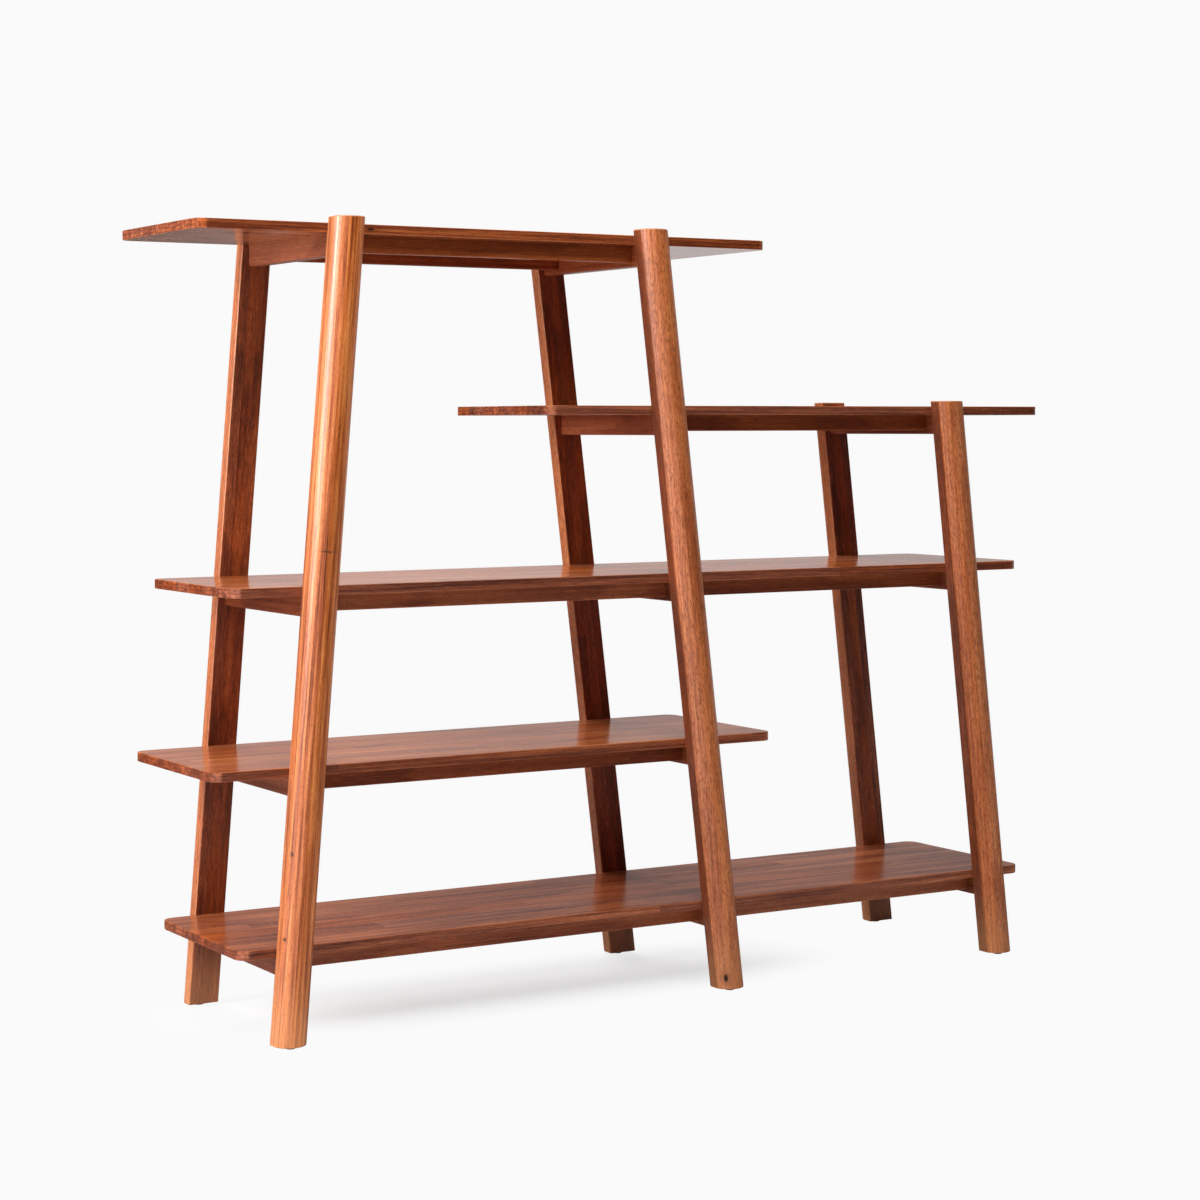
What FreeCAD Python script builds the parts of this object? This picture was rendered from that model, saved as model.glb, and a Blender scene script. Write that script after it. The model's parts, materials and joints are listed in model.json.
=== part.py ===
import FreeCAD, Part
import math
import os

# Staircase bookshelf: five shelves on three leaning leg frames, in millimetres.
# +X runs to the right along the shelves, +Y to the back and +Z up. The origin is on the floor,
# under the middle of the whole unit.

Vector = FreeCAD.Vector
up = Vector(0, 0, 1)
backwards = Vector(0, 1, 0)
to_right = Vector(1, 0, 0)

# Shelves
shelf_pitch = 330.0            # from the top of one level to the top of the next
first_shelf_top = 182.0        # top of the bottom shelf above the floor
shelf_thickness = 18.0
shelf_depth = 385.0            # also the room between the flat faces of front and back legs
long_shelf_length = 1825.0
short_shelf_length = 1223.0
shelf_corner_radius = 25.0
shelf_arris_radius = 1.5

# Legs: flat towards the shelves and at both sides, rounded away from the shelves
leg_width = 61.5
leg_side_depth = 25.0          # flat sides, up to the soft edge where the round front begins
leg_nose_depth = 25.0          # the round front, from those edges to its middle
left_lean = 5.03               # degrees, the left frame leans to the right
right_lean = 6.83              # degrees, the centre and right frames lean to the left
left_bay_at_floor = 965.0      # between the left and centre frames
right_bay_at_floor = 691.5     # between the centre and right frames
leg_top_stand = 11.0           # legs stand this far above the shelf that they end at
leg_edge_radius = 2.5          # round the top and down both inner corners
leg_foot_radius = 1.5

# Cross rails join a front leg to a back leg under each shelf
cross_rail_thickness = 30.0
cross_rail_height = 40.0
cross_rail_edge_radius = 4.0

# Aprons run under the shelves from one cross rail to the next
apron_thickness = 20.0
apron_height = 32.0
apron_setback = 40.0           # from the shelf's edge to the apron's face
apron_end_gap = 0.5
apron_edge_radius = 3.0

# Dowels: a glued pair at each end of a cross rail, a row on top of each apron
dowel_diameter = 8.0
dowel_clearance = 0.1          # all round, for glue
dowel_end_room = 1.0           # air at each end of a dowel
frame_dowel_depth = 20.0       # in the leg, and as much in the rail
frame_dowel_spread_share = 0.25   # of the rail's height, either side of its middle
apron_dowel_depth = 11.0       # in the shelf, and as much in the apron
apron_dowel_shares = (0.12, 0.5, 0.88)   # along the apron

# Bolts hold each shelf down on its cross rails, from below
bolt_diameter = 6.0
bolt_head_diameter = 10.0
bolt_head_height = 4.0
bolt_socket_width = 4.0        # across the flats of its hexagon
bolt_socket_depth = 2.5
bolt_hole_clearance = 0.3      # all round
bolt_recess_diameter = 13.0
bolt_recess_depth = 12.0
bolt_spread_share = 0.28       # of the shelf's depth, either side of its middle
bolt_end_room = 1.0
insert_diameter = 9.0
insert_cover = 5.0             # wood left above a threaded insert in a shelf
insert_clearance = 0.1         # all round

# Levelling feet
pad_height = 5.0               # legs end this far above the floor, with the feet screwed in
pad_diameter = 22.0
pad_edge_chamfer = 1.0
pad_socket_depth = 3.0
stud_diameter = 8.0
stud_length = 30.0
stud_clearance = 0.3           # all round, in the pad, the insert and the leg
stud_end_room = 2.0
stud_end_chamfer = 1.0
foot_insert_diameter = 13.0
foot_insert_length = 16.0

overrun = 5.0                  # cutters run this far past the faces they leave
level_tolerance = 0.01         # an edge this close to a height lies at it

# Frames and levels: name, frames that carry it, shelf length
frame_names = ("left", "centre", "right")
side_names = ("front", "back")
levels = (
    ("bottom", ("left", "centre", "right"), long_shelf_length),
    ("lower", ("left", "centre"), short_shelf_length),
    ("middle", ("left", "centre", "right"), long_shelf_length),
    ("upper", ("centre", "right"), short_shelf_length),
    ("top", ("left", "centre"), short_shelf_length),
)
level_of_top = {"left": "top", "centre": "top", "right": "upper"}

# Values that follow from those above
leg_depth = leg_side_depth + leg_nose_depth
front_face_y = -shelf_depth / 2
insert_length = shelf_thickness - insert_cover
slope = {
    "left": math.tan(math.radians(left_lean)),
    "centre": -math.tan(math.radians(right_lean)),
    "right": -math.tan(math.radians(right_lean)),
}
lean = {"left": left_lean, "centre": -right_lean, "right": -right_lean}
floor_x = {
    "left": 0.0,
    "centre": left_bay_at_floor,
    "right": left_bay_at_floor + right_bay_at_floor,
}
shelf_top = {}
for index, (level, carriers, length) in enumerate(levels):
    shelf_top[level] = first_shelf_top + index * shelf_pitch


def leg_x(frame, z):
    return floor_x[frame] + slope[frame] * z


def shelf_span(level, carriers, length):
    """Each shelf is centred on the outer two of the frames that carry it."""
    z = shelf_top[level] - shelf_thickness / 2
    middle = (leg_x(carriers[0], z) + leg_x(carriers[-1], z)) / 2
    return middle - length / 2, middle + length / 2


spans = [shelf_span(*row) for row in levels]
middle_x = (min(span[0] for span in spans) + max(span[1] for span in spans)) / 2
for frame in frame_names:
    floor_x[frame] -= middle_x


def rail_x(level, frame):
    """Middle of a cross rail: on the leg's centre line, halfway down the rail."""
    return leg_x(frame, shelf_top[level] - shelf_thickness - cross_rail_height / 2)


def box(x_low, x_high, y_low, y_high, z_low, z_high):
    return Part.makeBox(x_high - x_low, y_high - y_low, z_high - z_low, Vector(x_low, y_low, z_low))


def rod(diameter, length, start, direction):
    return Part.makeCylinder(diameter / 2, length, start, direction)


def rounded(shape, radius, chosen):
    """Fillet the edges for which chosen(edge) holds."""
    return shape.makeFillet(radius, [edge for edge in shape.Edges if chosen(edge)])


def is_along(edge, direction):
    if not isinstance(edge.Curve, Part.Line):
        return False
    return abs(edge.tangentAt(edge.FirstParameter).dot(direction)) > math.cos(math.radians(1))


def lies_at(edge, z):
    limits = edge.BoundBox
    return max(abs(limits.ZMin - z), abs(limits.ZMax - z)) < level_tolerance


def mirrored(shape, side):
    """Everything is drawn for the front, and the back is its mirror image."""
    return shape if side == "front" else shape.mirror(Vector(0, 0, 0), backwards)


# Holes and what goes in them, drawn at the front

def frame_dowel_places(level, frame):
    middle = shelf_top[level] - shelf_thickness - cross_rail_height / 2
    spread = cross_rail_height * frame_dowel_spread_share
    return [Vector(rail_x(level, frame), front_face_y, middle + spread * turn) for turn in (-1, 1)]


def dowel_pin(depth, place, direction):
    """A dowel across the joint at place, with both its ends chamfered."""
    half = depth - dowel_end_room
    pin = rod(dowel_diameter, 2 * half, place - direction * half, direction)
    return pin.makeChamfer(dowel_end_room / 2, [edge for edge in pin.Edges if edge.Closed])


def dowel_hole(depth, place, direction):
    return rod(dowel_diameter + 2 * dowel_clearance, 2 * depth, place - direction * depth, direction)


def bolt_place(level, frame):
    """Top of the cross rail, where the shelf rests on it."""
    top = shelf_top[level] - shelf_thickness
    return Vector(rail_x(level, frame), -shelf_depth * bolt_spread_share, top)


def bolt_hole(place):
    shank = rod(bolt_diameter + 2 * bolt_hole_clearance, cross_rail_height + 2 * overrun,
                place - up * (cross_rail_height + overrun), up)
    recess = rod(bolt_recess_diameter, bolt_recess_depth + overrun,
                 place - up * (cross_rail_height + overrun), up)
    return shank.fuse(recess)


def bolt(place):
    seat = place - up * (cross_rail_height - bolt_recess_depth)
    reach = cross_rail_height - bolt_recess_depth + insert_length - bolt_end_room
    head = rod(bolt_head_diameter, bolt_head_height, seat - up * bolt_head_height, up)
    shank = rod(bolt_diameter, reach, seat, up)
    corner = bolt_socket_width / math.sqrt(3)
    turns = [math.radians(60 * step) for step in range(7)]
    outline = [Vector(corner * math.cos(turn), corner * math.sin(turn), 0) for turn in turns]
    socket = Part.Face(Part.makePolygon(outline)).extrude(up * (bolt_socket_depth + overrun))
    socket.translate(seat - up * (bolt_head_height + overrun))
    return head.fuse(shank).removeSplitter().cut(socket)


def shelf_insert(place):
    sleeve = rod(insert_diameter, insert_length, place, up)
    return sleeve.cut(rod(bolt_diameter + 2 * insert_clearance, insert_length + overrun, place, up))


def insert_hole(place):
    return rod(insert_diameter + 2 * insert_clearance, insert_length + overrun, place - up * overrun, up)


def foot_place(frame):
    """Middle of the leg's lower end."""
    return Vector(leg_x(frame, pad_height), front_face_y - leg_depth / 2, pad_height)


def foot_hole(frame):
    place = foot_place(frame)
    seat = rod(foot_insert_diameter + 2 * insert_clearance, foot_insert_length + overrun,
               place - up * overrun, up)
    stud_room = rod(stud_diameter + 2 * stud_clearance, stud_length + stud_end_room, place, up)
    return seat.fuse(stud_room)


def foot_insert(frame):
    place = foot_place(frame)
    sleeve = rod(foot_insert_diameter, foot_insert_length, place, up)
    bore = rod(stud_diameter + 2 * stud_clearance, foot_insert_length + 2 * overrun,
               place - up * overrun, up)
    return sleeve.cut(bore)


def foot_pad(frame):
    place = foot_place(frame)
    disc = rod(pad_diameter, pad_height, place - up * pad_height, up)
    disc = disc.makeChamfer(pad_edge_chamfer, [edge for edge in disc.Edges if edge.Closed])
    return disc.cut(rod(stud_diameter + 2 * stud_clearance, pad_socket_depth + overrun,
                        place - up * pad_socket_depth, up))


def foot_stud(frame):
    stud = rod(stud_diameter, stud_length, foot_place(frame) - up * pad_socket_depth, up)
    return stud.makeChamfer(stud_end_chamfer, [edge for edge in stud.Edges if edge.Closed])


# Wooden pieces

def leg(frame, side):
    top = shelf_top[level_of_top[frame]] + leg_top_stand
    half = leg_width / 2
    corners = [Vector(-half, 0, 0), Vector(half, 0, 0),
               Vector(half, -leg_side_depth, 0), Vector(-half, -leg_side_depth, 0)]
    outline = Part.Wire([
        Part.LineSegment(corners[0], corners[1]).toShape(),
        Part.LineSegment(corners[1], corners[2]).toShape(),
        Part.Arc(corners[2], Vector(0, -leg_depth, 0), corners[3]).toShape(),
        Part.LineSegment(corners[3], corners[0]).toShape(),
    ])
    reach = leg_width + overrun                # enough past both ends for the level cuts
    length = top / math.cos(math.radians(lean[frame])) + 2 * reach
    post = Part.Face(outline).extrude(up * length)
    post.translate(up * -reach)
    post.rotate(Vector(0, 0, 0), backwards, lean[frame])
    post.translate(Vector(floor_x[frame], front_face_y, 0))
    limits = post.BoundBox
    post = post.common(box(limits.XMin - overrun, limits.XMax + overrun,
                           limits.YMin - overrun, limits.YMax + overrun, pad_height, top))
    grain = Vector(slope[frame], 0, 1).normalize()
    inner = front_face_y - leg_edge_radius
    post = rounded(post, leg_edge_radius,
                   lambda edge: lies_at(edge, top) or is_along(edge, grain) and edge.BoundBox.YMin > inner)
    post = rounded(post, leg_foot_radius, lambda edge: lies_at(edge, pad_height))
    for level, carriers, _ in levels:
        if frame in carriers:
            for place in frame_dowel_places(level, frame):
                post = post.cut(dowel_hole(frame_dowel_depth, place, backwards))
    return mirrored(post.cut(foot_hole(frame)), side)


def cross_rail(level, frame):
    top = shelf_top[level] - shelf_thickness
    low = top - cross_rail_height
    half = cross_rail_thickness / 2
    middle = rail_x(level, frame)
    rail = box(middle - half, middle + half, front_face_y, -front_face_y, low, top)
    underside = low + cross_rail_edge_radius
    rail = rounded(rail, cross_rail_edge_radius,
                   lambda edge: is_along(edge, backwards) and edge.BoundBox.ZMax < underside)
    cutters = [bolt_hole(bolt_place(level, frame))]
    for place in frame_dowel_places(level, frame):
        cutters.append(dowel_hole(frame_dowel_depth, place, backwards))
    for cutter in cutters:
        for side in side_names:
            rail = rail.cut(mirrored(cutter, side))
    return rail


def bays(level, carriers):
    """Where the aprons of a level run: a name and both ends in X for each pair of neighbouring frames."""
    half = cross_rail_thickness / 2
    rows = []
    for near, far in zip(carriers, carriers[1:]):
        name = "left" if near == "left" else "right"
        start = rail_x(level, near) + half + apron_end_gap
        end = rail_x(level, far) - half - apron_end_gap
        rows.append((name, start, end))
    return rows


def apron_dowel_places(level, start, end):
    y = front_face_y + apron_setback + apron_thickness / 2
    z = shelf_top[level] - shelf_thickness
    return [Vector(start + (end - start) * share, y, z) for share in apron_dowel_shares]


def apron(level, start, end, side):
    top = shelf_top[level] - shelf_thickness
    near = front_face_y + apron_setback
    strip = box(start, end, near, near + apron_thickness, top - apron_height, top)
    strip = rounded(strip, apron_edge_radius,
                    lambda edge: is_along(edge, to_right) and edge.BoundBox.ZMax < top - apron_height / 2)
    for place in apron_dowel_places(level, start, end):
        strip = strip.cut(dowel_hole(apron_dowel_depth, place, up))
    return mirrored(strip, side)


def shelf(level, carriers, length):
    left, right = shelf_span(level, carriers, length)
    top = shelf_top[level]
    board = box(left, right, front_face_y, -front_face_y, top - shelf_thickness, top)
    board = rounded(board, shelf_corner_radius, lambda edge: is_along(edge, up))
    board = rounded(board, shelf_arris_radius, lambda edge: not is_along(edge, up))
    cutters = [insert_hole(bolt_place(level, frame)) for frame in carriers]
    for _, start, end in bays(level, carriers):
        for place in apron_dowel_places(level, start, end):
            cutters.append(dowel_hole(apron_dowel_depth, place, up))
    for cutter in cutters:
        for side in side_names:
            board = board.cut(mirrored(cutter, side))
    return board


# One file for each node
nodes = {}
group_names = ("frame_dowels", "apron_dowels", "shelf_bolts", "shelf_inserts", "foot_inserts")
groups = {name: [] for name in group_names}
for frame in frame_names:
    for side in side_names:
        nodes[f"{frame}_{side}_leg"] = leg(frame, side)
        nodes[f"{frame}_{side}_foot_pad"] = mirrored(foot_pad(frame), side)
        nodes[f"{frame}_{side}_foot_stud"] = mirrored(foot_stud(frame), side)
        groups["foot_inserts"].append(mirrored(foot_insert(frame), side))
for level, carriers, length in levels:
    nodes[f"{level}_shelf"] = shelf(level, carriers, length)
    for frame in carriers:
        nodes[f"{level}_{frame}_cross_rail"] = cross_rail(level, frame)
        place = bolt_place(level, frame)
        for side in side_names:
            groups["shelf_bolts"].append(mirrored(bolt(place), side))
            groups["shelf_inserts"].append(mirrored(shelf_insert(place), side))
            for joint in frame_dowel_places(level, frame):
                pin = dowel_pin(frame_dowel_depth, joint, backwards)
                groups["frame_dowels"].append(mirrored(pin, side))
    for bay, start, end in bays(level, carriers):
        for side in side_names:
            nodes[f"{level}_{bay}_{side}_apron"] = apron(level, start, end, side)
            for joint in apron_dowel_places(level, start, end):
                pin = dowel_pin(apron_dowel_depth, joint, up)
                groups["apron_dowels"].append(mirrored(pin, side))
for name, solids in groups.items():
    nodes[name] = Part.makeCompound(solids)

os.makedirs("parts", exist_ok=True)
for name, shape in nodes.items():
    shape.exportStep(f"parts/{name}.step")
whole = Part.makeCompound(list(nodes.values())).optimalBoundingBox()
print(f"{len(nodes)} nodes, {whole.XLength:.1f} x {whole.YLength:.1f} x {whole.ZLength:.1f} mm")
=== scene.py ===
import bpy
import bmesh
import json
import math
from mathutils import Matrix, Vector

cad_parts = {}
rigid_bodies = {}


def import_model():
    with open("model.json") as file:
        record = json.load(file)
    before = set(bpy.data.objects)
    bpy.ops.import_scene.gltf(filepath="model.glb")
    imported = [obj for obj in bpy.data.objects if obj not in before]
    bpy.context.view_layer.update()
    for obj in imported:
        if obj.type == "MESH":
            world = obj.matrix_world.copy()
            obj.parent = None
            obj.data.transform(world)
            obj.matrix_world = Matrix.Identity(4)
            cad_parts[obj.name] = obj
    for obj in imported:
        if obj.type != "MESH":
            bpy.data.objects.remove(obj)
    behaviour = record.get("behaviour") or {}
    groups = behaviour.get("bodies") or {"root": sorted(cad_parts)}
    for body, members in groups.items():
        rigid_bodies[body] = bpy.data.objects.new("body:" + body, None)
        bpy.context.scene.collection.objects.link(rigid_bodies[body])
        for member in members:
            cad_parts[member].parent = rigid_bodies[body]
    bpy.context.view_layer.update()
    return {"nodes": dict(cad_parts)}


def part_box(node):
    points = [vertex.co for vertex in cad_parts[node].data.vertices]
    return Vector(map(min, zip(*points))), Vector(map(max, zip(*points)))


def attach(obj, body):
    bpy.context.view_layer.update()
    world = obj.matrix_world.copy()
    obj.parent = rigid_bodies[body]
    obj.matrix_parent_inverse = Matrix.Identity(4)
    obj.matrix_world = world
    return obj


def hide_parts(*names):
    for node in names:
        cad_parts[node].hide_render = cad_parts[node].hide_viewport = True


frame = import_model()
nodes = frame["nodes"]
unitBody = "shelf_unit"
frameNames = ("left", "centre", "right")
sideNames = ("front", "back")
levelNames = ("bottom", "lower", "middle", "upper", "top")
upwards = Vector((0, 0, 1))
backwards = Vector((0, 1, 0))
rightwards = Vector((1, 0, 0))
closeTo = 1e-5                                          # metres, for telling edges apart
sameWay = 0.999                                         # cosine above which two directions agree
creaseAngle = math.radians(40)                          # edges sharper than this stay sharp when shaded
print("frame loaded:", len(nodes), "nodes")


class Flow:                                             # one socket, used in sums like a number
    def __init__(self, finish, socket):
        self.finish = finish
        self.socket = socket

    def calc(self, operation, *values):
        return self.finish.node("ShaderNodeMath", {"operation": operation}, dict(enumerate(values)))

    def __add__(self, other):
        return self.calc("ADD", self, other)

    def __sub__(self, other):
        return self.calc("SUBTRACT", self, other)

    def __rsub__(self, other):
        return self.calc("SUBTRACT", other, self)

    def __mul__(self, other):
        return self.calc("MULTIPLY", self, other)

    def __truediv__(self, other):
        return self.calc("DIVIDE", self, other)

    def __pow__(self, other):
        return self.calc("POWER", self, other)

    __radd__ = __add__
    __rmul__ = __mul__

    def floor(self):
        return self.calc("FLOOR", self)

    def fract(self):
        return self.calc("FRACT", self)

    def larger(self, other):
        return self.calc("MAXIMUM", self, other)

    def size(self):
        return self.calc("ABSOLUTE", self)

    def step(self, low, high):                          # smooth step from 0 at low to 1 at high
        return self.finish.node("ShaderNodeMapRange", {"interpolation_type": "SMOOTHSTEP"},
                                {"Value": self, "From Min": low, "From Max": high})

    def also(self, name):                               # another output of the same node
        return Flow(self.finish, self.socket.node.outputs[name])


class Finish:                                           # the nodes of one material or world
    def __init__(self, owner):
        owner.use_nodes = True
        self.owner = owner
        self.tree = owner.node_tree
        self.tree.nodes.clear()

    def node(self, kind, settings, sockets, output=0):
        made = self.tree.nodes.new(kind)
        for name, value in settings.items():
            if name == "stops":
                self.setStops(made.color_ramp.elements, value)
            else:
                setattr(made, name, value)
        for name, value in sockets.items():
            if isinstance(value, Flow):
                self.tree.links.new(value.socket, made.inputs[name])
            else:
                made.inputs[name].default_value = value
        return Flow(self, made.outputs[output]) if made.outputs else None

    def setStops(self, elements, stops):
        while len(elements) < len(stops):
            elements.new(1)
        for element, (place, colour) in zip(elements, stops):
            element.position = place
            element.color = colour

    def split(self, vector):
        x = self.node("ShaderNodeSeparateXYZ", {}, {"Vector": vector})
        return x, x.also("Y"), x.also("Z")

    def join(self, x, y, z):
        return self.node("ShaderNodeCombineXYZ", {}, {"X": x, "Y": y, "Z": z})

    def noise(self, vector, scale=1, detail=2, roughness=0.5):
        return self.node("ShaderNodeTexNoise", {}, {"Vector": vector, "Scale": scale, "Detail": detail,
                                                    "Roughness": roughness}, "Fac")

    def blend(self, share, first, second):              # two colours
        return self.node("ShaderNodeMix", {"data_type": "RGBA"}, {0: share, 6: first, 7: second}, 2)

    def mix(self, share, first, second):                # two shaders
        return self.node("ShaderNodeMixShader", {}, {0: share, 1: first, 2: second})

    def bump(self, height, distance, strength):
        return self.node("ShaderNodeBump", {}, {"Height": height, "Distance": distance, "Strength": strength})

    def surface(self, sockets):
        shader = self.node("ShaderNodeBsdfPrincipled", {}, sockets)
        self.node("ShaderNodeOutputMaterial", {}, {"Surface": shader})
        return self.owner


def tint(red, green, blue):                             # screen colour, 0 to 255, as linear light
    def linear(value):
        share = value / 255
        return share / 12.92 if share <= 0.04045 else ((share + 0.055) / 1.055) ** 2.4
    return (linear(red), linear(green), linear(blue), 1)


# Lacquered hardwood: glued staves, each with the figure of the place that it was cut from
figureSize = {                                          # metres along and across the fibres, detail, roughness
    "wander": (0.45, 0.07, 2), "cloud": (0.60, 0.030, 2), "streak": (0.40, 0.0062, 4, 0.60),
    "line": (0.24, 0.0021, 2), "fine": (0.030, 0.0012, 2), "shine": (0.011, 0.0015, 1),
}
markRange = {                                           # where each mark begins and where it is full
    "knot": (0.55, 1.05), "halo": (0.8, 2.4), "bend": (0.6, 4.0),   # in knot sizes from its middle
    "lateStart": (0.2, 0.86), "lateEnd": (0.9, 1.0),    # in ring widths
    "line": (0.55, 0.74), "shine": (0.58, 0.74), "edge": (0.85, 1.0),
}
lacquer = {
    "cutSpread": 60, "pithLeast": 0.6, "lateMean": 0.35, "saturation": 1.04, "haloDepth": 0.45,
    "fineRelief": 0.5, "poreRelief": 0.8, "reliefHeight": 0.00012, "reliefStrength": 0.30,
    "poreRough": 0.12, "streakRough": 0.20, "arrisSmooth": 0.06,
    "index": 1.5, "specular": 0.25, "endDulling": 0.8,
}


def lacqueredWood(name, look):
    wood = Finish(bpy.data.materials.new(name))
    grain = wood.node("ShaderNodeAttribute", {"attribute_name": "grain"}, {}, "Vector")
    arris = wood.node("ShaderNodeAttribute", {"attribute_name": "arris"}, {}, "Fac")
    facing = wood.node("ShaderNodeAttribute", {"attribute_name": "facing"}, {}, "Vector")
    endFace, edgeFace, wideFace = wood.split(facing)
    along, across, deep = wood.split(grain)

    stave = (across / look["staveWidth"]).floor()
    reach = along / look["staveLength"] + stave * look["stagger"]
    chance = wood.node("ShaderNodeTexWhiteNoise", {"noise_dimensions": "2D"},
                       {"Vector": wood.join(stave, reach.floor(), 0)}, "Color")
    pithChance, toneChance, cutChance = wood.split(chance)
    own = along + cutChance * look["trunkLength"]       # where this stave lay in its trunk

    knot, halo, figure = 0, 0, across
    for place, size, bend, depth in look["knots"]:
        away = [(value - middle) / half for value, middle, half in zip((along, across, deep), place, size)]
        distance = (away[0] * away[0] + away[1] * away[1] + away[2] * away[2]) ** 0.5
        knot = (1 - distance.step(*markRange["knot"])) * depth + knot
        halo = (1 - distance.step(*markRange["halo"])) * depth + halo
        near = 1 - distance.step(*markRange["bend"])
        figure = figure - (across - place[1]) * near * bend   # grain bends round it

    def fibres(length, width, detail, roughness=0.55):
        drift = cutChance * lacquer["cutSpread"]
        return wood.noise(wood.join(own / length, figure / width + drift, deep / width), 1, detail, roughness)

    wander = fibres(*figureSize["wander"])
    fromPith = figure - (stave + 0.5) * look["staveWidth"] + (pithChance - 0.5) * look["pithSpread"]
    pithBelow = deep + look["pithDepth"] * (lacquer["pithLeast"] + toneChance) + own * look["taper"]
    radius = (fromPith * fromPith + pithBelow * pithBelow) ** 0.5
    ring = (radius / look["ringSpacing"] + wander * look["ringWander"]).fract()
    lateWood = ring.step(*markRange["lateStart"]) * (1 - ring.step(*markRange["lateEnd"]))

    cloud = fibres(*figureSize["cloud"])
    streak = fibres(*figureSize["streak"])
    line = fibres(*figureSize["line"]).step(*markRange["line"])      # thin dark lines along the fibres
    fine = fibres(*figureSize["fine"])
    pore = fibres(*look["poreSize"], 1).step(*look["poreRange"])
    shine = fibres(*figureSize["shine"]).step(*markRange["shine"])   # pale flecks between the pores

    shade = (0.5 + (streak - 0.5) * look["streakShare"] + (fine - 0.5) * look["fineShare"]
             + (cloud - 0.5) * look["cloudShare"] + (lateWood - lacquer["lateMean"]) * look["ringShare"]
             + (toneChance - 0.5) * look["toneShare"] + line * look["lineShare"]
             # painted shade: the edge term darkens edges and flat sides, the wide term darkens wide faces, or
             # lightens them where it is below 0
             + endFace * look["endShare"] + edgeFace.step(*markRange["edge"]) * look["edgeShare"]
             + wideFace * look["wideShare"])
    plain = wood.node("ShaderNodeValToRGB", {"stops": look["stops"]}, {"Fac": shade}, "Color")
    pored = wood.blend(pore * look["poreDepth"], plain, look["poreColour"])
    flecked = wood.blend(shine * look["shineDepth"], pored, look["shineColour"])
    toned = wood.node("ShaderNodeHueSaturation", {}, {
        "Saturation": lacquer["saturation"] - pithChance * look["brownShare"], "Color": flecked}, "Color")

    def joint(place, width, length):                    # 1 on the joint between two staves
        return (place.fract() - 0.5).size().step(0.5 - width / length, 0.5)

    butt = joint(reach, look["buttSeam"], look["staveLength"])
    glue = joint(across / look["staveWidth"], look["seam"], look["staveWidth"])
    seam = (butt * look["buttDepth"]).larger(glue * look["glueDepth"])
    seamed = wood.blend(seam, toned, look["poreColour"])
    height = wood.split(wood.node("ShaderNodeTexCoord", {}, {}, "Object"))[2]
    # paler rounded edges, partly wear and partly a painted highlight; paler lowest part, painted light thrown
    # up by the floor
    wearAndPaintedLight = (arris * look["arrisPolish"]).larger((1 - height.step(0.0, look["paleFoot"])) * look["footPolish"])
    coloured = wood.blend(wearAndPaintedLight, seamed, look["shineColour"])
    if look["knots"]:
        haloed = wood.blend(halo * lacquer["haloDepth"], coloured, look["haloColour"])
        coloured = wood.blend(knot, haloed, look["knotColour"])
    relief = fine * lacquer["fineRelief"] - pore * lacquer["poreRelief"] - seam
    rough = look["roughness"] + pore * lacquer["poreRough"] + (streak - 0.5) * lacquer["streakRough"]
    return wood.surface({
        "Base Color": coloured,
        "Roughness": rough - arris * lacquer["arrisSmooth"],
        "Normal": wood.bump(relief, lacquer["reliefHeight"], lacquer["reliefStrength"]),
        "IOR": lacquer["index"],
        "Specular IOR Level": lacquer["specular"],
        "Coat Weight": look["coat"] * (1 - endFace * lacquer["endDulling"]),
        "Coat Roughness": look["coatRoughness"],
        "Coat IOR": lacquer["index"],
    })


# Where each piece of wood lies in the grain: along it, across it and into it, in metres
grainStep = {
    "legStart": 0.142, "legAlong": 0.31, "legAcross": 15, "legMiddle": 7.5, "legDeep": 0.4,
    "shelfAlong": 0.37, "shelfStaves": 20, "shelfMiddle": 3, "shelfDeep": 0.2,
    "railAlong": 0.61, "railStaves": 3, "railInset": 0.2, "railDeep": 0.3,
}
legStave = 0.0205
shelfStave = 0.385 / 6                                  # six staves across a board
railStave = 0.09


def legStart(index):
    return Vector((grainStep["legStart"] + grainStep["legAlong"] * index,
                   legStave * (grainStep["legAcross"] * index + grainStep["legMiddle"]),
                   grainStep["legDeep"] * index))


def shelfStart(index):
    return Vector((grainStep["shelfAlong"] * index,
                   shelfStave * (grainStep["shelfStaves"] * index + grainStep["shelfMiddle"]),
                   grainStep["shelfDeep"] * index))


legKnots = [                                            # place, half sizes, bend of the grain, depth of colour
    (legStart(2) + Vector((0.026, -0.0185, -0.0430)), (0.0095, 0.0042, 0.012), 0.55, 1),
    (legStart(0) + Vector((0.352, -0.0275, -0.0335)), (0.0050, 0.0022, 0.008), 0.55, 0.9),
    (legStart(0) + Vector((0.196, -0.0290, -0.0300)), (0.0035, 0.0016, 0.008), 0.55, 0.9),
    (legStart(0) + Vector((0.904, -0.0085, -0.0500)), (0.0019, 0.0125, 0.016), 0, 0.7),   # glued end joint
]
shelfKnots = [
    (shelfStart(4) + Vector((-0.627, -0.1925, 1.493)), (0.0085, 0.010, 0.0032), 0.55, 0.9),
]

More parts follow.
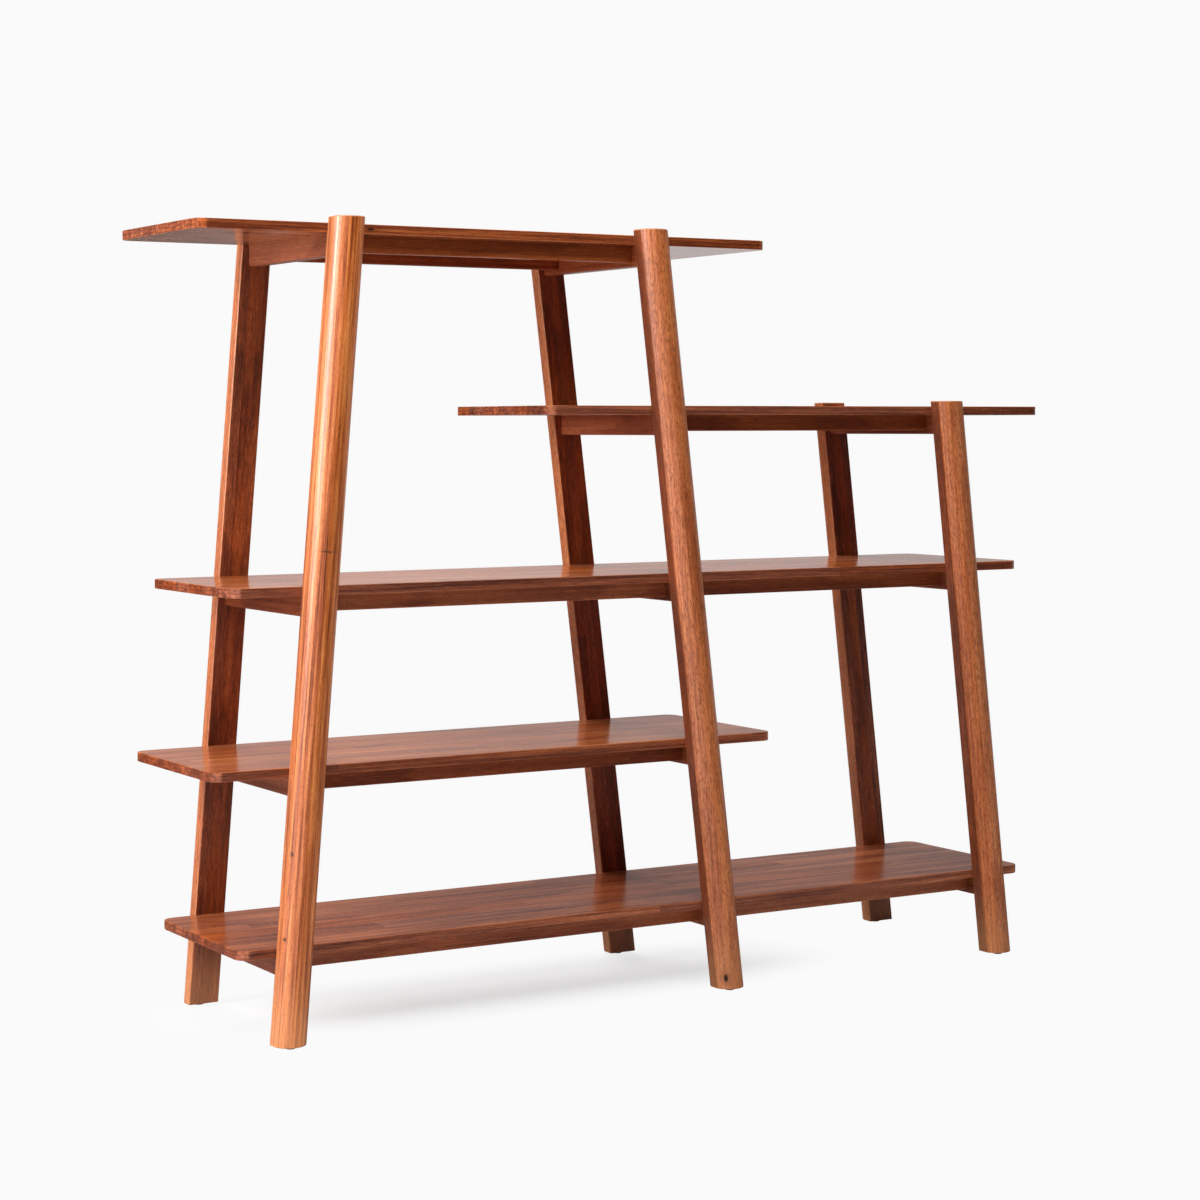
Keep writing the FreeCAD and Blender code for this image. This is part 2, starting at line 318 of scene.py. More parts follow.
legStops = [
    (0.14, tint(226, 148, 90)),
    (0.46, tint(192, 108, 60)),
    (0.68, tint(154, 76, 40)),
    (0.95, tint(82, 35, 18)),
]
shelfStops = [
    (0.14, tint(212, 132, 80)),
    (0.46, tint(182, 100, 57)),
    (0.68, tint(142, 70, 40)),
    (0.95, tint(84, 37, 21)),
]
legLook = {
    "staveWidth": legStave, "staveLength": 6.0, "stagger": 0.0, "trunkLength": 7.0,
    "pithSpread": 0.03, "pithDepth": 0.055, "taper": 0.016, "ringSpacing": 0.0062, "ringWander": 1.6,
    "streakShare": 1.50, "fineShare": 0.60, "cloudShare": 0.60, "ringShare": 0.12, "toneShare": 0.10,
    "lineShare": 0.36, "endShare": 0.30, "edgeShare": 0.0, "wideShare": 0.0,
    "poreSize": (0.0070, 0.0012), "poreRange": (0.56, 0.68), "poreDepth": 0.45,
    "stops": legStops, "poreColour": tint(96, 42, 20), "brownShare": 0.10,
    # paler rounded edges, partly wear and partly a painted highlight, and a paler foot up to 0.16 m, painted
    # light thrown up by the floor
    "paleFoot": 0.16, "footPolish": 0.28, "arrisPolish": 0.30,
    "shineDepth": 0.14, "shineColour": tint(236, 164, 106),
    "seam": 0.0007, "buttSeam": 0.0008, "buttDepth": 0.16, "glueDepth": 0.16,
    "roughness": 0.45, "coat": 0.7, "coatRoughness": 0.36,
    "knots": legKnots, "knotColour": tint(46, 18, 10), "haloColour": tint(128, 60, 32),
}
shelfLook = {
    "staveWidth": shelfStave, "staveLength": 0.92, "stagger": 0.618, "trunkLength": 7.0,
    "pithSpread": 0.05, "pithDepth": 0.060, "taper": 0.012, "ringSpacing": 0.0070, "ringWander": 2.0,
    "streakShare": 1.05, "fineShare": 0.60, "cloudShare": 0.70, "ringShare": 0.12, "toneShare": 0.14,
    # painted shade on the front and back edges, and painted light on the tops and undersides
    "lineShare": 0.24, "endShare": 0.32, "edgeShare": 0.20, "wideShare": -0.07,
    "poreSize": (0.0075, 0.0012), "poreRange": (0.56, 0.68), "poreDepth": 0.40,
    "stops": shelfStops, "poreColour": tint(76, 32, 19), "brownShare": 0.10,
    # faintly paler rounded edges, partly wear and partly a painted highlight
    "paleFoot": 0.01, "footPolish": 0.0, "arrisPolish": 0.05,
    "shineDepth": 0.10, "shineColour": tint(222, 150, 100),
    "seam": 0.0005, "buttSeam": 0.0007, "buttDepth": 0.40, "glueDepth": 0.12,
    "roughness": 0.45, "coat": 1.0, "coatRoughness": 0.20,
    "knots": shelfKnots, "knotColour": tint(52, 20, 12), "haloColour": tint(110, 50, 30),
}
# painted shade: the flat sides of the centre and right front legs darker
fineLook = dict(legLook, streakShare=0.50, lineShare=0.06, fineShare=0.9, cloudShare=0.4, edgeShare=0.32,
                poreSize=(0.0095, 0.0018), poreRange=(0.53, 0.65), poreDepth=0.66)
# painted shade: the inner faces of the back legs darker
shadedBackLook = dict(fineLook, edgeShare=0.0, wideShare=0.26)
# painted shade: the bottom shelf's top and underside darker than the other shelves'
shadedShelfLook = dict(shelfLook, wideShare=0.06)
railLook = dict(shelfLook, staveWidth=railStave, staveLength=60, stagger=0.0, toneShare=0.20, streakShare=0.50,
                lineShare=0.06, cloudShare=0.35, edgeShare=0.0, wideShare=0.0, coat=0.4, knots=[])
stripedWood = lacqueredWood("stripedWood", legLook)
legWood = lacqueredWood("legWood", fineLook)
backLegWood = lacqueredWood("backLegWood", shadedBackLook)
shelfWood = lacqueredWood("shelfWood", shelfLook)
darkShelfWood = lacqueredWood("darkShelfWood", shadedShelfLook)
railWood = lacqueredWood("railWood", railLook)
print("wood finishes made")


# Small parts: nylon, plated steel, brass and plain dowel wood, on Object coordinates
nylonLook = {
    "gritScale": 1600, "patchScale": 120, "scuffScale": 420, "scuffRange": (0.56, 0.72), "scuffDepth": 0.35,
    "dark": tint(20, 20, 21), "grey": tint(34, 33, 32), "scuffed": tint(66, 64, 62),
    "roughness": 0.42, "patchRough": 0.2, "scuffRough": 0.15, "gritHeight": 0.00006, "gritStrength": 0.35,
}
metalLook = {
    "turnScale": (60, 60, 2500), "cloudScale": 150, "cloudRange": (0.3, 0.7),
    "roughness": 0.22, "turnRough": 0.22, "turnHeight": 0.00004, "turnStrength": 0.35,
}
beechLook = {
    "fleckScale": 700, "cloudScale": 90, "fleckRange": (0.55, 0.7), "fleckDepth": 0.5,
    "dark": tint(205, 170, 125), "pale": tint(222, 190, 148), "fleck": tint(165, 120, 78),
    "roughness": 0.6, "fleckRough": 0.2, "fleckHeight": 0.0001, "fleckStrength": 0.4,
}


def nylon(look):
    black = Finish(bpy.data.materials.new("blackNylon"))
    place = black.node("ShaderNodeTexCoord", {}, {}, "Object")
    grit = black.noise(place, look["gritScale"], 3)
    patch = black.noise(place, look["patchScale"], 2)
    scuff = black.noise(place, look["scuffScale"], 4).step(*look["scuffRange"])
    colour = black.blend(patch, look["dark"], look["grey"])
    scuffed = black.blend(scuff * look["scuffDepth"], colour, look["scuffed"])
    rough = look["roughness"] + patch * look["patchRough"] + scuff * look["scuffRough"]
    return black.surface({"Base Color": scuffed, "Roughness": rough,
                          "Normal": black.bump(grit, look["gritHeight"], look["gritStrength"])})


def turnedMetal(name, look, dull, bright):
    metal = Finish(bpy.data.materials.new(name))
    place = metal.node("ShaderNodeTexCoord", {}, {}, "Object")
    stretched = [part * scale for part, scale in zip(metal.split(place), look["turnScale"])]
    turned = metal.noise(metal.join(*stretched), 1, 3)
    cloud = metal.noise(place, look["cloudScale"], 3)
    colour = metal.blend(cloud.step(*look["cloudRange"]), dull, bright)
    return metal.surface({"Base Color": colour, "Metallic": 1.0,
                          "Roughness": look["roughness"] + turned * look["turnRough"],
                          "Normal": metal.bump(turned, look["turnHeight"], look["turnStrength"])})


def plainBeech(look):
    beech = Finish(bpy.data.materials.new("plainBeech"))
    place = beech.node("ShaderNodeTexCoord", {}, {}, "Object")
    fleck = beech.noise(place, look["fleckScale"], 3)
    cloud = beech.noise(place, look["cloudScale"], 2)
    colour = beech.blend(cloud, look["dark"], look["pale"])
    flecked = beech.blend(fleck.step(*look["fleckRange"]) * look["fleckDepth"], colour, look["fleck"])
    return beech.surface({"Base Color": flecked, "Roughness": look["roughness"] + fleck * look["fleckRough"],
                          "Normal": beech.bump(fleck, look["fleckHeight"], look["fleckStrength"])})


blackNylon = nylon(nylonLook)
zincSteel = turnedMetal("zincSteel", metalLook, tint(172, 174, 174), tint(208, 206, 198))
insertBrass = turnedMetal("insertBrass", metalLook, tint(182, 142, 72), tint(216, 182, 106))
dowelBeech = plainBeech(beechLook)
cadFinishes = {
    "shelf_bolts": zincSteel, "shelf_inserts": insertBrass, "foot_inserts": insertBrass,
    "frame_dowels": dowelBeech, "apron_dowels": dowelBeech,
}
for nodeName, material in cadFinishes.items():
    nodes[nodeName].data.materials.clear()
    nodes[nodeName].data.materials.append(material)
print("small parts finished")


# Making a piece from a bmesh
def freshMesh():
    mesh = bmesh.new()
    mesh.verts.layers.float.new("arris")                # 1 on rounded edges, 0 elsewhere
    return mesh


def block(low, high):                                   # a box between two corners
    mesh = freshMesh()
    bmesh.ops.create_cube(mesh, size=1)
    bmesh.ops.scale(mesh, vec=high - low, verts=mesh.verts)
    bmesh.ops.translate(mesh, vec=(low + high) / 2, verts=mesh.verts)
    return mesh


def edgesWhere(mesh, test):
    return [edge for edge in mesh.edges if test(edge)]


def runsAlong(edge, direction):
    run = edge.verts[1].co - edge.verts[0].co
    return run.length > closeTo and abs(run.normalized().dot(direction)) > sameWay


def liesAt(edge, height):
    return all(abs(vert.co.z - height) < closeTo for vert in edge.verts)


def roundOff(mesh, edges, radius, segments):
    made = bmesh.ops.bevel(mesh, geom=edges, offset=radius, offset_type="OFFSET", segments=segments,
                           profile=0.5, affect="EDGES", material=-1, clamp_overlap=True)
    arris = mesh.verts.layers.float["arris"]
    strip = set(made["faces"])
    for vert in made["verts"]:
        if all(face in strip for face in vert.link_faces):
            vert[arris] = 1


drillBit = {"segments": 40, "below": 0.004}             # it starts this far under the mouth


def drill(mesh, holes):                                 # holes: middle of the mouth, depth upwards, diameter
    data = bpy.data.meshes.new("drilled")
    mesh.to_mesh(data)
    mesh.free()
    wood = bpy.data.objects.new("drilled", data)
    bits = bmesh.new()
    below = drillBit["below"]
    for mouth, depth, diameter in holes:
        place = Matrix.Translation(mouth + upwards * (depth - below) / 2)
        bmesh.ops.create_cone(bits, cap_ends=True, segments=drillBit["segments"], radius1=diameter / 2,
                              radius2=diameter / 2, depth=depth + below, matrix=place)
    bitData = bpy.data.meshes.new("bits")
    bits.to_mesh(bitData)
    bits.free()
    bit = bpy.data.objects.new("bits", bitData)
    for thing in (wood, bit):
        bpy.context.scene.collection.objects.link(thing)
    cut = wood.modifiers.new("holes", "BOOLEAN")
    cut.object = bit
    cut.solver = "EXACT"
    cut.use_self = True                                 # wide and narrow holes share an axis
    drilled = bmesh.new()
    drilled.from_object(wood, bpy.context.evaluated_depsgraph_get())
    for thing in (wood, bit):
        spent = thing.data
        bpy.data.objects.remove(thing)
        bpy.data.meshes.remove(spent)
    return drilled


def pieceName(*words):                                  # camelCase, from a node's words
    return words[0] + "".join(word.title() for word in words[1:])


def finishPiece(mesh, node, material, body):
    for face in mesh.faces:
        face.smooth = True
    for edge in mesh.edges:
        edge.smooth = edge.calc_face_angle(0) < creaseAngle
    data = bpy.data.meshes.new(node)
    mesh.to_mesh(data)
    mesh.free()
    piece = bpy.data.objects.new(pieceName(*node.split("_")), data)
    bpy.context.scene.collection.objects.link(piece)
    data.materials.append(material)
    piece.modifiers.new("flats", "WEIGHTED_NORMAL").keep_sharp = True
    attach(piece, body)
    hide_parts(node)
    return piece


def layGrain(piece, toGrain, offset):                   # where each point lies in the wood it was cut from
    data = piece.data
    data.attributes.new("grain", "FLOAT_VECTOR", "POINT")
    data.attributes.new("facing", "FLOAT_VECTOR", "POINT")   # shares of end, edge and wide face, together 1
    layers = data.attributes["grain"].data, data.attributes["facing"].data
    for vertex, place, facing in zip(data.vertices, *layers):
        place.vector = toGrain @ vertex.co + offset
        facing.vector = [part * part for part in toGrain @ vertex.normal]


grainAlongX = Matrix(((1, 0, 0), (0, 1, 0), (0, 0, 1)))        # wide face up
grainAlongXUpright = Matrix(((1, 0, 0), (0, 0, 1), (0, 1, 0)))  # wide face to the front
grainAlongY = Matrix(((0, 1, 0), (0, 0, 1), (1, 0, 0)))
grainAlongZ = Matrix(((0, 0, 1), (1, 0, 0), (0, 1, 0)))


# Legs: flat towards the shelves and at the sides, rounded outside
legPost = {
    "width": 0.0615, "sideDepth": 0.025, "noseDepth": 0.025, "noseSegments": 36,
    "shoulderRadius": 0.0018, "edgeRadius": 0.0025, "footRadius": 0.0015,
    "shoulderSegments": 2, "edgeSegments": 4, "footSegments": 3,
    "lean": {"left": 5.03, "centre": -6.83, "right": -6.83},
    "insertHole": 0.0132, "insertDepth": 0.016, "studHole": 0.0086, "studDepth": 0.032,
}
# the centre and right front legs and the back legs take copies of the leg finish with painted shade
legFinish = {
    "left_front_leg": stripedWood, "centre_front_leg": legWood, "right_front_leg": legWood,
    "left_back_leg": backLegWood, "centre_back_leg": backLegWood, "right_back_leg": backLegWood,
}


def legSection():                                       # closed outline, inner face at y = 0
    half, side, nose = legPost["width"] / 2, legPost["sideDepth"], legPost["noseDepth"]
    radius = (half * half + nose * nose) / (2 * nose)
    mesh = freshMesh()
    start = mesh.verts.new((-half, -side, 0))
    bmesh.ops.spin(mesh, geom=[start], cent=(0, radius - side - nose, 0), axis=upwards,
                   angle=2 * math.asin(half / radius), steps=legPost["noseSegments"])
    mesh.verts.ensure_lookup_table()
    end = mesh.verts[-1]
    corners = [mesh.verts.new((half, 0, 0)), mesh.verts.new((-half, 0, 0))]
    for pair in ((end, corners[0]), (corners[0], corners[1]), (corners[1], start)):
        mesh.edges.new(pair)
    bmesh.ops.contextual_create(mesh, geom=mesh.edges[:])
    return mesh


def legPiece(frameName, side, index):
    node = f"{frameName}_{side}_leg"
    low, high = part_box(node)
    lean = math.radians(legPost["lean"][frameName])
    half, height = legPost["width"] / 2, high.z - low.z
    footX = low.x + half / math.cos(lean) if lean > 0 else high.x - half / math.cos(lean)
    innerY = high.y if side == "front" else low.y
    mesh = legSection()
    raised = bmesh.ops.extrude_face_region(mesh, geom=mesh.faces[:])["geom"]
    top = [part for part in raised if isinstance(part, bmesh.types.BMVert)]
    bmesh.ops.translate(mesh, vec=upwards * height, verts=top)
    bmesh.ops.recalc_face_normals(mesh, faces=mesh.faces)

    def standsAt(edge, y):                              # an upright edge of a flat side
        return runsAlong(edge, upwards) and all(
            abs(abs(v.co.x) - half) < closeTo and abs(v.co.y - y) < closeTo for v in edge.verts)

    shoulders = edgesWhere(mesh, lambda edge: standsAt(edge, -legPost["sideDepth"]))
    roundOff(mesh, shoulders, legPost["shoulderRadius"], legPost["shoulderSegments"])
    arrises = edgesWhere(mesh, lambda edge: liesAt(edge, height) or standsAt(edge, 0))
    roundOff(mesh, arrises, legPost["edgeRadius"], legPost["edgeSegments"])
    footRim = edgesWhere(mesh, lambda edge: liesAt(edge, 0))
    roundOff(mesh, footRim, legPost["footRadius"], legPost["footSegments"])
    if side == "back":
        bmesh.ops.scale(mesh, vec=(1, -1, 1), verts=mesh.verts)
        bmesh.ops.reverse_faces(mesh, faces=mesh.faces)
    shear = Matrix(((1 / math.cos(lean), 0, math.tan(lean)), (0, 1, 0), (0, 0, 1)))
    bmesh.ops.transform(mesh, matrix=shear.to_4x4(), verts=mesh.verts)
    bmesh.ops.translate(mesh, vec=(footX, innerY, low.z), verts=mesh.verts)
    padLow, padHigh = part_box(f"{frameName}_{side}_foot_pad")
    mouth = (padLow + padHigh) / 2
    mouth.z = low.z
    mesh = drill(mesh, [(mouth, legPost["insertDepth"], legPost["insertHole"]),
                        (mouth, legPost["studDepth"], legPost["studHole"])])
    piece = finishPiece(mesh, node, legFinish[node], unitBody)
    toGrain = grainAlongZ @ Matrix.Rotation(-lean, 3, "Y")
    layGrain(piece, toGrain, legStart(index) - toGrain @ Vector((footX, innerY, low.z)))


for index, frameName in enumerate(frameNames):
    for turn, side in enumerate(sideNames):
        legPiece(frameName, side, 2 * index + turn)
print("legs made")


# Shelves: boards with round corners and eased arrises
shelfBoard = {"cornerRadius": 0.025, "cornerSegments": 14, "arrisRadius": 0.0015, "arrisSegments": 3}


def shelfPiece(level, index):
    node = f"{level}_shelf"
    low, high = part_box(node)
    mesh = block(low, high)
    corners = edgesWhere(mesh, lambda edge: runsAlong(edge, upwards))
    bmesh.ops.bevel(mesh, geom=corners, offset=shelfBoard["cornerRadius"], offset_type="OFFSET",
                    segments=shelfBoard["cornerSegments"], profile=0.5, affect="EDGES", material=-1)
    rims = edgesWhere(mesh, lambda edge: liesAt(edge, low.z) or liesAt(edge, high.z))
    roundOff(mesh, rims, shelfBoard["arrisRadius"], shelfBoard["arrisSegments"])
    # painted shade: the bottom shelf takes the darker copy of the shelf finish
    material = darkShelfWood if level == "bottom" else shelfWood
    piece = finishPiece(mesh, node, material, unitBody)
    layGrain(piece, grainAlongX, shelfStart(index))


for index, level in enumerate(levelNames):
    shelfPiece(level, index)
print("shelves made")

# Cross rails and aprons under the shelves
crossRail = {
    "edgeRadius": 0.004, "edgeSegments": 4,
    "boltShare": 0.28,                                  # of the rail's length, either side of its middle
    "recess": 0.013, "recessDepth": 0.012, "boltHole": 0.0066, "overrun": 0.001,
}
apronStrip = {"edgeRadius": 0.003, "edgeSegments": 4}


def railStart(index, low):                              # starts in the middle of a stave of its own
    return Vector((grainStep["railAlong"] * index,
                   railStave * (grainStep["railStaves"] * index + grainStep["railInset"]) - low.z,
                   grainStep["railDeep"] * index))


def crossRailPiece(node, index):
    low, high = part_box(node)
    mesh = block(low, high)
    lowEdges = edgesWhere(mesh, lambda edge: runsAlong(edge, backwards) and liesAt(edge, low.z))
    roundOff(mesh, lowEdges, crossRail["edgeRadius"], crossRail["edgeSegments"])
    middle, reach = (low + high) / 2, (high.y - low.y) * crossRail["boltShare"]
    holes = []
    for way in (-1, 1):
        mouth = Vector((middle.x, middle.y + reach * way, low.z))
        holes.append((mouth, crossRail["recessDepth"], crossRail["recess"]))
        holes.append((mouth, high.z - low.z + crossRail["overrun"], crossRail["boltHole"]))
    piece = finishPiece(drill(mesh, holes), node, railWood, unitBody)
    layGrain(piece, grainAlongY, railStart(index, low) - Vector((0, 0, low.x)))


def apronPiece(node, index):
    low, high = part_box(node)
    mesh = block(low, high)
    lowEdges = edgesWhere(mesh, lambda edge: runsAlong(edge, rightwards) and liesAt(edge, low.z))
    roundOff(mesh, lowEdges, apronStrip["edgeRadius"], apronStrip["edgeSegments"])
    piece = finishPiece(mesh, node, railWood, unitBody)
    layGrain(piece, grainAlongXUpright, railStart(index, low) - Vector((0, 0, low.y)))


crossRailNodes = sorted(name for name in nodes if name.endswith("_cross_rail"))
apronNodes = sorted(name for name in nodes if name.endswith("_apron"))
for index, node in enumerate(crossRailNodes):
    crossRailPiece(node, index)
for index, node in enumerate(apronNodes):
    apronPiece(node, index + len(crossRailNodes))
print("rails and aprons made")

# Levelling feet: a moulded pad with grip flutes, and a threaded stud
footPad = {
    "steps": 48, "restRadius": 0.0088, "rimLow": 0.0017, "rimHigh": 0.0037, "topRadius": 0.0096,
    "collarRadius": 0.0066, "topDip": 0.0004, "socketRadius": 0.0043, "socketDepth": 0.0031,
    "fluteInset": 0.00015, "fluteDepth": 0.00045, "wallTilt": 0.01,
}
footStud = {"pitch": 0.00125, "threadDepth": 0.00068, "steps": 28, "rootShare": 0.25, "crestShare": 0.125}


def turnProfile(points, middle, steps):                 # a profile of radius and height, spun round upright
    mesh = freshMesh()
    verts = [mesh.verts.new((radius, 0, height)) for radius, height in points]
    edges = [mesh.edges.new(pair) for pair in zip(verts, verts[1:])]
    bmesh.ops.spin(mesh, geom=verts + edges, cent=(0, 0, 0), axis=upwards, angle=2 * math.pi, steps=steps,
                   use_merge=True)
    bmesh.ops.remove_doubles(mesh, verts=mesh.verts, dist=closeTo / 2)
    bmesh.ops.recalc_face_normals(mesh, faces=mesh.faces)
    bmesh.ops.translate(mesh, vec=middle, verts=mesh.verts)
    return mesh


def padPiece(frameName, side):
    node = f"{frameName}_{side}_foot_pad"
    low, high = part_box(node)
    rim, height = (high.x - low.x) / 2, high.z - low.z
    middle = Vector(((low.x + high.x) / 2, (low.y + high.y) / 2, low.z))
    top, socketFloor = height - footPad["topDip"], height - footPad["socketDepth"]
    mesh = turnProfile([
        (0, 0), (footPad["restRadius"], 0), (rim, footPad["rimLow"]), (rim, footPad["rimHigh"]),
        (footPad["topRadius"], top), (footPad["collarRadius"], top),
        (footPad["collarRadius"], height), (footPad["socketRadius"], height),
        (footPad["socketRadius"], socketFloor), (0, socketFloor),
    ], middle, footPad["steps"])

    def fromMiddle(face):
        return face.calc_center_median() - middle

    wall = [face for face in mesh.faces if abs(face.normal.z) < footPad["wallTilt"]
            and fromMiddle(face).xy.length > footPad["topRadius"]]
    wall.sort(key=lambda face: math.atan2(fromMiddle(face).y, fromMiddle(face).x))
    bmesh.ops.inset_individual(mesh, faces=wall[::2], thickness=footPad["fluteInset"],
                               depth=-footPad["fluteDepth"])
    finishPiece(mesh, node, blackNylon, f"{frameName}_{side}_pad")


def studPiece(frameName, side):
    node = f"{frameName}_{side}_foot_stud"
    low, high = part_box(node)
    crest, pitch, steps = (high.x - low.x) / 2, footStud["pitch"], footStud["steps"]
    root = crest - footStud["threadDepth"]
    flank = (1 - footStud["rootShare"] - footStud["crestShare"]) / 2
    shares = (0, footStud["rootShare"], footStud["rootShare"] + flank, 1 - flank, 1)
    mesh = freshMesh()
    verts = [mesh.verts.new((radius, 0, share * pitch - pitch))
             for radius, share in zip((root, root, crest, crest, root), shares)]
    edges = [mesh.edges.new(pair) for pair in zip(verts, verts[1:])]
    turns = math.ceil((high.z - low.z) / pitch) + 2     # one spare turn at each end, cut off below
    bmesh.ops.spin(mesh, geom=verts + edges, cent=(0, 0, 0), axis=upwards, dvec=upwards * pitch / steps,
                   angle=2 * math.pi * turns, steps=steps * turns)
    bmesh.ops.remove_doubles(mesh, verts=mesh.verts, dist=closeTo)
    for height, outwards in ((0, -upwards), (high.z - low.z, upwards)):
        everything = mesh.verts[:] + mesh.edges[:] + mesh.faces[:]
        bmesh.ops.bisect_plane(mesh, geom=everything, plane_co=upwards * height, plane_no=outwards,
                               clear_outer=True)
        rim = edgesWhere(mesh, lambda edge: edge.is_boundary and liesAt(edge, height))
        bmesh.ops.contextual_create(mesh, geom=rim)
    bmesh.ops.recalc_face_normals(mesh, faces=mesh.faces)
    bmesh.ops.translate(mesh, vec=((low.x + high.x) / 2, (low.y + high.y) / 2, low.z), verts=mesh.verts)
    finishPiece(mesh, node, zincSteel, f"{frameName}_{side}_stud")


for frameName in frameNames:
    for side in sideNames:
        padPiece(frameName, side)
        studPiece(frameName, side)
print("feet made")

# Floor, light and camera
photoView = {                                           # where the photograph was taken from
    "place": (-2.7623, -4.5612, 1.1320), "turn": 30.988, "dip": 3.788, "roll": -0.120,
    "focalPixels": 2624.9, "imagePixels": 1200, "sensor": 36, "clipEnd": 200,
}
studio = {
    "floorSize": 40, "white": 0.956,                    # the pale backdrop that the camera sees
    "halfWidth": 0.35, "halfDepth": 0.05,               # the zone that keeps the unit's shadow
    "shadowX": -0.2, "shadowY": 0.05, "widthFade": 0.5,
    "nearGlow": 0.70, "glowFrom": 0.0, "glowTo": 0.22,  # share of backdrop there, and metres to all backdrop
    "floorNear": 0.85, "floorFar": 0.30,                # greys of the floor that throws light back
    "dimFrom": 0.70, "dimTo": 1.60,                     # metres from that zone, from one grey to the other
    "front": 0.02, "back": 0.03, "roomTurn": (-0.35, 0.75),     # the room before and behind the unit
    "mirror": 0.95,                                     # the sheet that the lacquer mirrors behind the unit
    "sheetSide": (0.50, 0.90), "sheetTop": (0.0, 0.215),        # where it fades, as parts of a direction
    "mirrorFloor": 0.12, "mirrorPool": 1.3,             # the floor that front faces mirror, with a painted pool of glow on the left
    "poolFrom": (-1.8, -0.6), "poolTo": (-0.2, 0.8),
    "mirrorFar": (0.05, 0.70),                          # the far floor that undersides mirror, left and right, a painted glow
    "farFrom": (2.0, 5.0), "farSide": (-3.5, 0.5),
}


def raysSeen(finish):                                   # rays that should meet the pale backdrop
    camera = finish.node("ShaderNodeLightPath", {}, {}, "Is Camera Ray")
    return camera.larger(camera.also("Is Transmission Ray")), camera.also("Is Glossy Ray")


def alongView(x, y):                                    # how far ahead of the camera, and how far aside
    turn = math.radians(photoView["turn"])
    return x * math.sin(turn) + y * math.cos(turn), x * math.cos(turn) - y * math.sin(turn)


def paleFloor():
    pale = Finish(bpy.data.materials.new("paleFloor"))
    seen, glossy = raysSeen(pale)
    x, y = pale.split(pale.node("ShaderNodeTexCoord", {}, {}, "Object"))[:2]
    beside = ((x - studio["shadowX"]).size() - studio["halfWidth"]).larger(0) * studio["widthFade"]
    before = ((y - studio["shadowY"]).size() - studio["halfDepth"]).larger(0)
    away = (beside * beside + before * before) ** 0.5
    far = away.step(studio["glowFrom"], studio["glowTo"])
    ahead, aside = alongView(x, y)
    glow = (studio["nearGlow"] + (1 - studio["nearGlow"]) * far) * seen
    shades = [pale.node("ShaderNodeBsdfDiffuse", {}, {"Color": (grey, grey, grey, 1)})
              for grey in (studio["floorNear"], studio["floorFar"])]
    matt = pale.mix(away.step(studio["dimFrom"], studio["dimTo"]), *shades)
    paintedPool = (1 - x.step(*studio["poolFrom"])) * (1 - y.step(*studio["poolTo"]))

    def shining(strength):
        return pale.node("ShaderNodeEmission", {}, {"Color": (1, 1, 1, 1), "Strength": strength})

    looked = pale.mix(glow, matt, shining(studio["white"]))
    # painted reflection: glossy rays see the floor glow, dim near, bright in a pool on the left, brighter far
    # to the right
    paintedPoolLight = studio["mirrorFloor"] + studio["mirrorPool"]
    close = pale.mix(paintedPool, shining(studio["mirrorFloor"]), shining(paintedPoolLight))
    distant = pale.mix(aside.step(*studio["farSide"]), *[shining(strength) for strength in studio["mirrorFar"]])
    mirrored = pale.mix(ahead.step(*studio["farFrom"]), close, distant)
    mixed = pale.mix(glossy, looked, mirrored)
    pale.node("ShaderNodeOutputMaterial", {}, {"Surface": mixed})
    mesh = bmesh.new()
    bmesh.ops.create_grid(mesh, x_segments=1, y_segments=1, size=studio["floorSize"])
    data = bpy.data.meshes.new("floor")
    mesh.to_mesh(data)
    mesh.free()
    data.materials.append(pale.owner)
    floor = bpy.data.objects.new("floor", data)
    bpy.context.scene.collection.objects.link(floor)


def studioWorld():
    world = bpy.data.worlds.new("studio")
    bpy.context.scene.world = world
    sky = Finish(world)
    seen, glossy = raysSeen(sky)
    x, y, z = sky.split(sky.node("ShaderNodeTexCoord", {}, {}, "Generated"))
    ahead = alongView(x, y)[0]
    sheet = ahead.step(*studio["sheetSide"]) * (1 - z.step(*studio["sheetTop"])) * glossy

    def shining(strength):
        return sky.node("ShaderNodeBackground", {}, {"Color": (1, 1, 1, 1), "Strength": strength})

    behind = y.step(*studio["roomTurn"]) * (1 - glossy)
    room = sky.mix(behind, shining(studio["front"]), shining(studio["back"]))
    lit = sky.mix(sheet, room, shining(studio["mirror"]))
    sky.node("ShaderNodeOutputWorld", {}, {"Surface": sky.mix(seen, lit, shining(studio["white"]))})


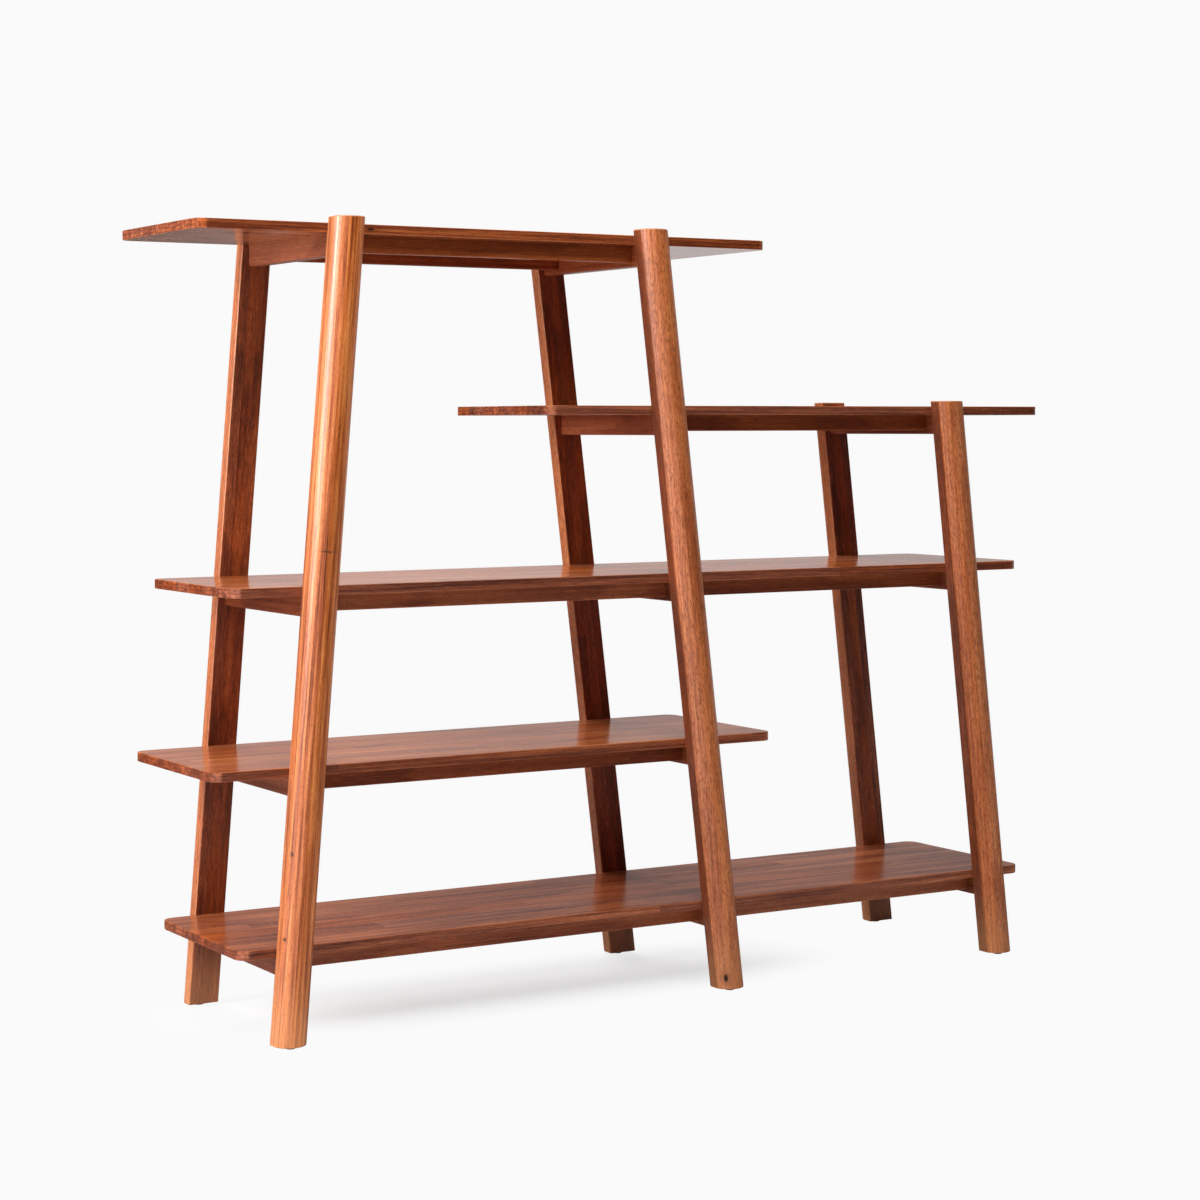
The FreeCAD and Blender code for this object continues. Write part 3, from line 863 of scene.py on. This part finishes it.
softBoxes = {
    "left": {"place": (-3.6, -0.2, 2.0), "aim": (-0.6, -0.2, 0.9), "size": (1.2, 1.7), "watts": 185},
    "leftBack": {"place": (-3.2, 1.6, 2.4), "aim": (-0.6, 0.0, 0.9), "size": (1.2, 1.7), "watts": 16},
    "back": {"place": (0.3, 3.0, 3.2), "aim": (0.0, 0.0, 0.7), "size": (3.0, 1.6), "watts": 128},
    "top": {"place": (0.1, 0.0, 3.8), "aim": (0.1, 0.0, 0.0), "size": (2.8, 2.0), "watts": 58},
    "topFront": {"place": (-0.6, -2.4, 3.4), "aim": (0.0, -0.1, 0.6), "size": (2.2, 1.4), "watts": 80},
}
softBoxes["legGloss"] = dict(softBoxes["left"])         # the left lamp's image in the legs' lacquer
mirroredBoxes = ("top", "legGloss")                     # shelves would mirror the others as white sheets


def showInLegs(lit):                                    # seen in the legs' lacquer and nowhere else
    legs = bpy.data.collections.new("legs")
    for frameName in frameNames:
        for side in sideNames:
            legs.objects.link(bpy.data.objects[pieceName(frameName, side, "leg")])
    lit.light_linking.receiver_collection = legs
    lit.visible_diffuse = False


def softBox(name, box):
    lamp = bpy.data.lights.new(name, "AREA")
    lamp.shape = "RECTANGLE"
    lamp.size, lamp.size_y = box["size"]
    lamp.energy = box["watts"]
    lit = bpy.data.objects.new(name, lamp)
    lit.location = box["place"]
    lit.rotation_euler = (Vector(box["aim"]) - lit.location).to_track_quat("-Z", "Y").to_euler()
    lit.visible_camera = False
    lit.visible_glossy = name in mirroredBoxes
    if name == "legGloss":
        showInLegs(lit)
    bpy.context.scene.collection.objects.link(lit)


def photoCamera():
    lens = bpy.data.cameras.new("photoCamera")
    lens.sensor_width = photoView["sensor"]
    lens.lens = photoView["focalPixels"] / photoView["imagePixels"] * photoView["sensor"]
    lens.clip_end = photoView["clipEnd"]
    camera = bpy.data.objects.new("photoCamera", lens)
    turn = Matrix.Rotation(-math.radians(photoView["turn"]), 4, "Z")
    dip = Matrix.Rotation(math.radians(90 - photoView["dip"]), 4, "X")
    roll = Matrix.Rotation(math.radians(photoView["roll"]), 4, "Z")
    camera.matrix_world = Matrix.Translation(photoView["place"]) @ turn @ dip @ roll
    bpy.context.scene.collection.objects.link(camera)
    bpy.context.scene.camera = camera


paleFloor()
studioWorld()
for name, box in softBoxes.items():
    softBox(name, box)
photoCamera()
bpy.context.scene.view_settings.view_transform = "Standard"
print("studio set up")
